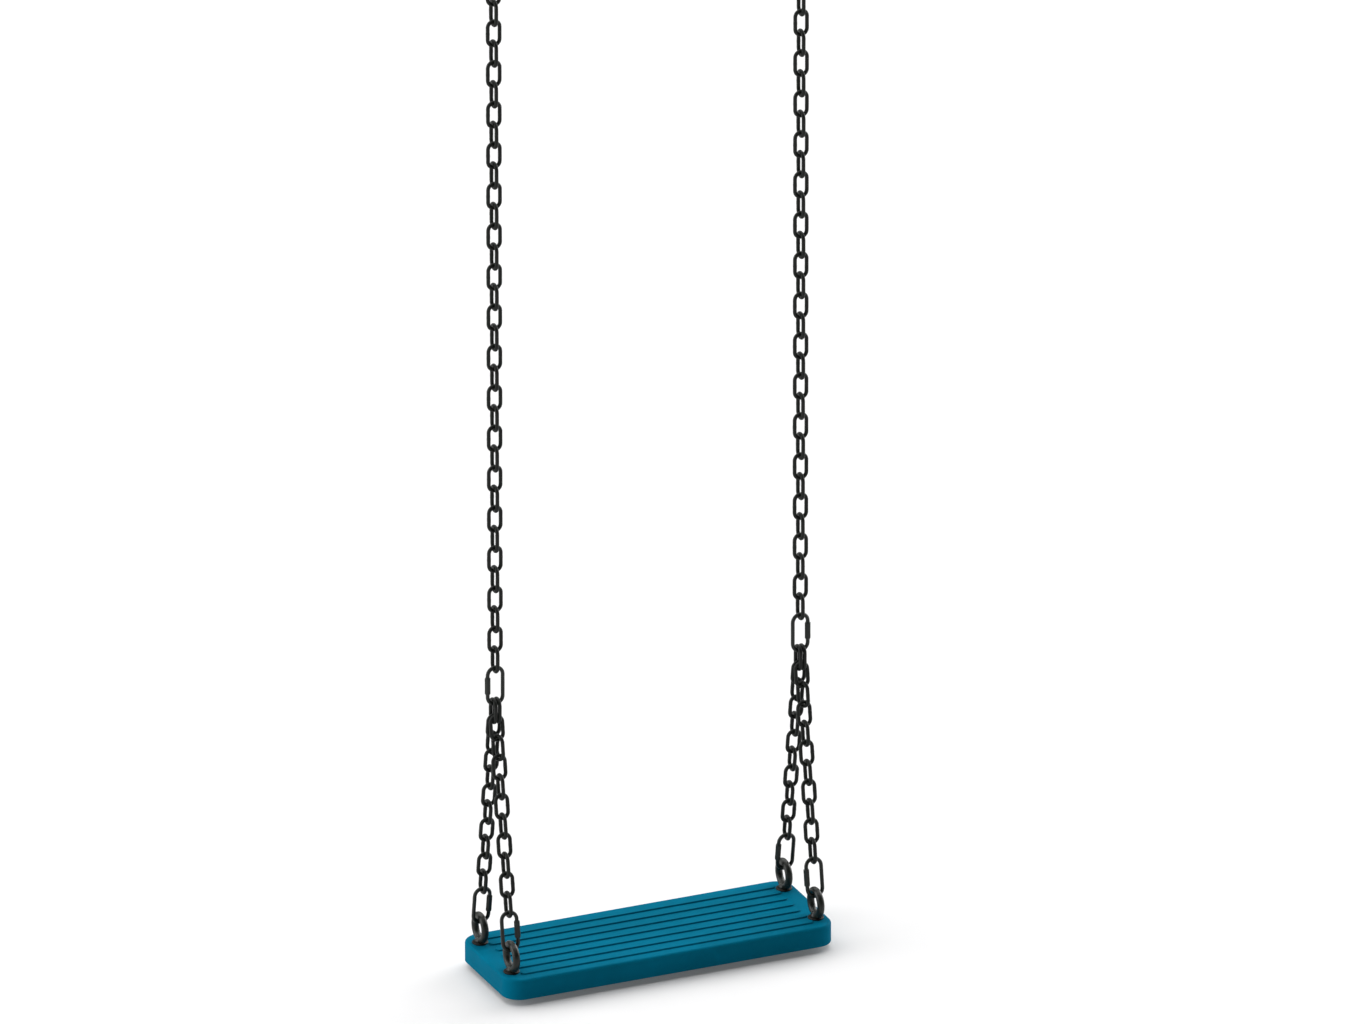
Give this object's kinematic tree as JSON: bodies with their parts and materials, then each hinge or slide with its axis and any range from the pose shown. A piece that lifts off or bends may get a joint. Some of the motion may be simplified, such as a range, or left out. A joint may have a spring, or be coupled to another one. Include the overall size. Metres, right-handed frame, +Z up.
{
  "type": "swing set",
  "caption": "Flat ribbed rubber swing seat on four chain bridles and two hanging chains, with pendulum hangers bolted under a beam.",
  "frame": {"origin": "centre of the four beam bolt holes, on the face of the two bracket plates that goes against the beam", "axes": "+Z up, +X along the seat from the left chain to the right one, front of the seat at -Y"},
  "size_m": [0.472, 0.159, 1.5318],
  "materials": {
    "seat_rubber": "matt moulded rubber, blue-teal",
    "chain_steel": "dark coated welded chain, satin",
    "link_steel": "dark coated bent wire, satin",
    "forged_steel": "dark coated forging, semi-gloss",
    "collar_steel": "dark brown-black coated washer",
    "zinc_steel": "zinc plated",
    "bracket_steel": "dark powder coat",
    "bronze": "plain sintered bronze"
  },
  "bodies": {
    "hangers": {"bracket_left": "bracket_steel", "bracket_right": "bracket_steel", "pivot_bolt_left": "zinc_steel", "pivot_bolt_right": "zinc_steel", "pivot_washers": "zinc_steel", "pivot_nuts": "zinc_steel"},
    "pendulum_left": {"pendulum_left": "forged_steel", "bushes_left": "bronze"},
    "chain_left": {"main_chain_left": "chain_steel", "top_link_left": "link_steel"},
    "top_sleeve_left": {"top_sleeve_left": "link_steel"},
    "junction_left": {"junction_link_left": "link_steel"},
    "junction_sleeve_left": {"junction_sleeve_left": "link_steel"},
    "pendulum_right": {"pendulum_right": "forged_steel", "bushes_right": "bronze"},
    "chain_right": {"main_chain_right": "chain_steel", "top_link_right": "link_steel"},
    "top_sleeve_right": {"top_sleeve_right": "link_steel"},
    "junction_right": {"junction_link_right": "link_steel"},
    "junction_sleeve_right": {"junction_sleeve_right": "link_steel"},
    "seat": {"seat_moulding": "seat_rubber", "seat_stiffener": "zinc_steel", "seat_washers": "zinc_steel", "seat_lock_nuts": "zinc_steel", "eye_collars": "collar_steel", "eye_bolt_front_left": "forged_steel", "lower_link_front_left": "link_steel", "leg_front_left": "chain_steel", "eye_bolt_back_left": "forged_steel", "lower_link_back_left": "link_steel", "leg_back_left": "chain_steel", "eye_bolt_front_right": "forged_steel", "lower_link_front_right": "link_steel", "leg_front_right": "chain_steel", "eye_bolt_back_right": "forged_steel", "lower_link_back_right": "link_steel", "leg_back_right": "chain_steel"},
    "lower_sleeve_front_left": {"lower_sleeve_front_left": "link_steel"},
    "lower_sleeve_back_left": {"lower_sleeve_back_left": "link_steel"},
    "lower_sleeve_front_right": {"lower_sleeve_front_right": "link_steel"},
    "lower_sleeve_back_right": {"lower_sleeve_back_right": "link_steel"}
  },
  "joints": [
    {"name": "swing_left", "type": "hinge", "parent": "hangers", "child": "pendulum_left", "pos_m": [-0.20875, 0, -0.04], "axis": [1, 0, 0], "range_deg": [-60, 60]},
    {"name": "sway_left", "type": "hinge", "parent": "pendulum_left", "child": "chain_left", "pos_m": [-0.20875, 0, -0.11575], "axis": [0, 1, 0], "range_deg": [-10, 10]},
    {"name": "level_left", "type": "hinge", "parent": "chain_left", "child": "junction_left", "pos_m": [-0.20875, 0, -1.1132], "axis": [0, 1, 0], "range_deg": [-10, 10]},
    {"name": "swing_right", "type": "hinge", "parent": "hangers", "child": "pendulum_right", "pos_m": [0.20875, 0, -0.04], "axis": [1, 0, 0], "range_deg": [-60, 60]},
    {"name": "sway_right", "type": "hinge", "parent": "pendulum_right", "child": "chain_right", "pos_m": [0.20875, 0, -0.11575], "axis": [0, 1, 0], "range_deg": [-10, 10]},
    {"name": "level_right", "type": "hinge", "parent": "chain_right", "child": "junction_right", "pos_m": [0.20875, 0, -1.1132], "axis": [0, 1, 0], "range_deg": [-10, 10]},
    {"name": "seat_pitch", "type": "hinge", "parent": "junction_left", "child": "seat", "pos_m": [-0.20875, 0, -1.1574], "axis": [1, 0, 0], "range_deg": [-25, 25]},
    {"name": "top_sleeve_left_slide", "type": "slide", "parent": "chain_left", "child": "top_sleeve_left", "axis": [0, 0, 1], "range_m": [-0.004, 0]},
    {"name": "junction_sleeve_left_slide", "type": "slide", "parent": "junction_left", "child": "junction_sleeve_left", "axis": [0, 0, 1], "range_m": [-0.004, 0]},
    {"name": "lower_sleeve_front_left_slide", "type": "slide", "parent": "seat", "child": "lower_sleeve_front_left", "axis": [0, 0.1495, 0.9888], "range_m": [-0.004, 0]},
    {"name": "lower_sleeve_back_left_slide", "type": "slide", "parent": "seat", "child": "lower_sleeve_back_left", "axis": [0, -0.1495, 0.9888], "range_m": [-0.004, 0]},
    {"name": "top_sleeve_right_slide", "type": "slide", "parent": "chain_right", "child": "top_sleeve_right", "axis": [0, 0, 1], "range_m": [-0.004, 0]},
    {"name": "junction_sleeve_right_slide", "type": "slide", "parent": "junction_right", "child": "junction_sleeve_right", "axis": [0, 0, 1], "range_m": [-0.004, 0]},
    {"name": "lower_sleeve_front_right_slide", "type": "slide", "parent": "seat", "child": "lower_sleeve_front_right", "axis": [0, 0.1495, 0.9888], "range_m": [-0.004, 0]},
    {"name": "lower_sleeve_back_right_slide", "type": "slide", "parent": "seat", "child": "lower_sleeve_back_right", "axis": [0, -0.1495, 0.9888], "range_m": [-0.004, 0]}
  ],
  "couplings": [
    {"joint": "swing_right", "follows": "swing_left", "ratio": 1},
    {"joint": "sway_right", "follows": "sway_left", "ratio": 1},
    {"joint": "level_left", "follows": "sway_left", "ratio": -1},
    {"joint": "level_right", "follows": "sway_left", "ratio": -1}
  ]
}
